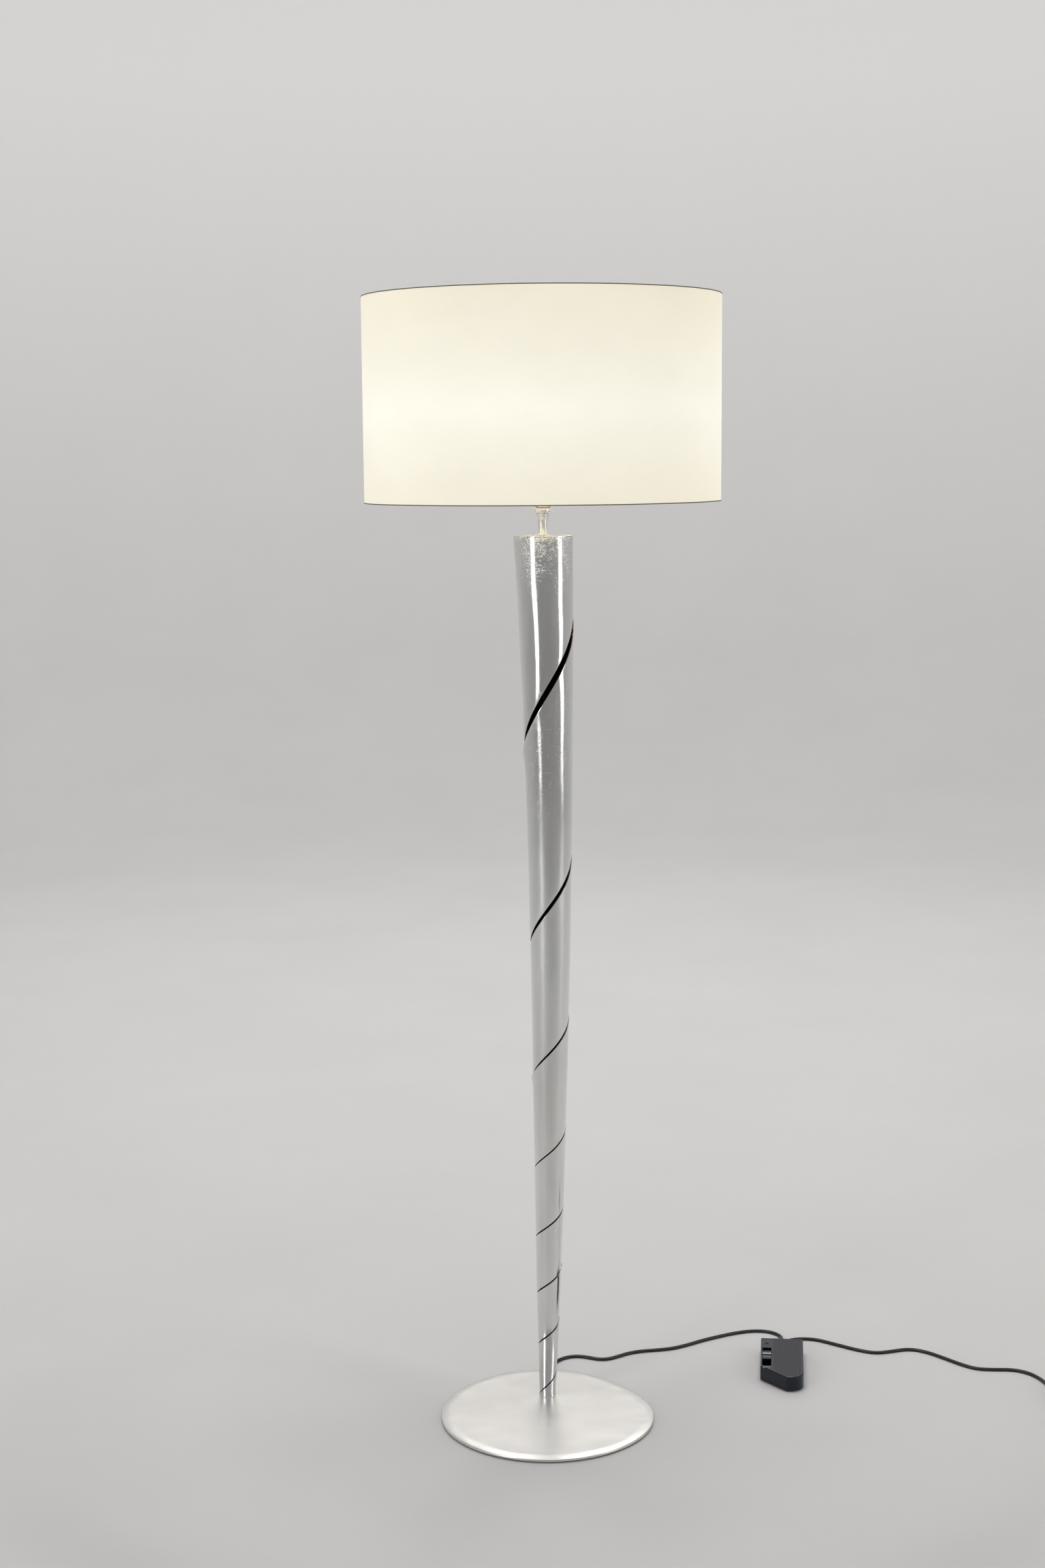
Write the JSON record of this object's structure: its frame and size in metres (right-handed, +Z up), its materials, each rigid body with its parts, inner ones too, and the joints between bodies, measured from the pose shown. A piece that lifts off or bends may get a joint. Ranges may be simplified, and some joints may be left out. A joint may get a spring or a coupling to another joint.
{
  "type": "floor lamp",
  "caption": "Floor lamp: a silver-leafed hollow cone with a winding open slit on a thin round plate, under a plain drum shade, with a foot dimmer in its cord.",
  "frame": {"origin": "on the floor, on the axis of the shade and of the centre tube, at the middle of the box of the lamp without its cord", "axes": "+Z up, -Y the front, where the foot plate reaches furthest out, +X to the right seen from the front"},
  "size_m": [1.1787, 0.5511, 1.774],
  "materials": {
    "bare_aluminium": "bare",
    "black_felt": "stiff felt",
    "black_gloss": "moulded, glossy",
    "black_holder": "moulded, satin",
    "black_soft": "flexible PVC, semi gloss",
    "board_green": "solder mask",
    "brass": "plain",
    "capacitor_blue": "dipped",
    "component_grey": "moulded",
    "copper_wire": "enamelled copper",
    "fuse_glass": "clear",
    "lead_brown": "wire insulation",
    "led_yellow": "phosphor",
    "nickel": "nickel plated",
    "opal": "opal, lit from inside",
    "porcelain": "glazed ceramic",
    "shade_fabric": "ivory cloth laminated on a stiff white lining",
    "shade_trim": "narrow folded tape, dark olive grey",
    "silver_leaf": "thin hand-laid silver leaf on aluminium sheet, satin, with darker patina along the slit and at the top",
    "silver_leaf_plate": "silver-leafed heavy plate, soft satin",
    "smoke_window": "dark translucent",
    "white_plastic": "moulded",
    "white_wire": "white powder coat",
    "zinc_steel": "bright zinc"
  },
  "bodies": {
    "lamp": {"base_felt": "black_felt", "base_nut": "zinc_steel", "base_plate": "silver_leaf_plate", "base_washer": "zinc_steel", "centre_contact": "brass", "centre_tube": "zinc_steel", "cord_coil": "black_soft", "cord_gland": "black_soft", "cord_tie": "black_soft", "cord_to_coil": "black_soft", "cord_to_dimmer": "black_soft", "cord_to_plug": "black_soft", "dimmer_base": "black_gloss", "dimmer_capacitor": "capacitor_blue", "dimmer_choke": "copper_wire", "dimmer_clamps": "black_holder", "dimmer_cover": "black_gloss", "dimmer_fader": "component_grey", "dimmer_feet": "black_soft", "dimmer_fuse": "fuse_glass", "dimmer_heatsink": "bare_aluminium", "dimmer_indicator": "smoke_window", "dimmer_pcb": "board_green", "dimmer_relief_in": "black_soft", "dimmer_relief_out": "black_soft", "dimmer_screws": "zinc_steel", "dimmer_terminals": "component_grey", "dimmer_triac": "component_grey", "foot_ring": "zinc_steel", "holder_body": "black_holder", "holder_dome": "black_holder", "holder_insert": "porcelain", "inner_leads": "lead_brown", "neck_flange": "silver_leaf", "neck_stem": "silver_leaf", "plug_body": "black_gloss", "plug_pins": "nickel", "plug_relief": "black_soft", "shade_cover": "shade_fabric", "shade_edge_bottom": "shade_trim", "shade_edge_top": "shade_trim", "shade_nut_lower": "black_holder", "shade_nut_upper": "black_holder", "shade_seam": "shade_fabric", "shade_spider": "white_wire", "shade_wire_bottom": "white_wire", "shade_wire_top": "white_wire", "socket_shell": "nickel", "spiral_shell": "silver_leaf", "terminal_screws": "brass", "top_cap": "silver_leaf", "top_ring": "zinc_steel"},
    "bulb": {"bulb_contact": "brass", "bulb_diffuser": "opal", "bulb_housing": "white_plastic", "bulb_insulator": "black_holder", "bulb_led_board": "bare_aluminium", "bulb_led_chips": "led_yellow", "bulb_screw_cap": "nickel"},
    "slider": {"dimmer_slider": "black_gloss"}
  },
  "joints": [
    {"name": "dimmer_slide", "type": "slide", "parent": "lamp", "child": "slider", "axis": [-0.1132, -0.9936, 0], "range_m": [-0.022, 0.018]},
    {"name": "bulb_lift", "type": "slide", "parent": "lamp", "child": "bulb", "axis": [0, 0, 1], "range_m": [0, 0.026]}
  ]
}
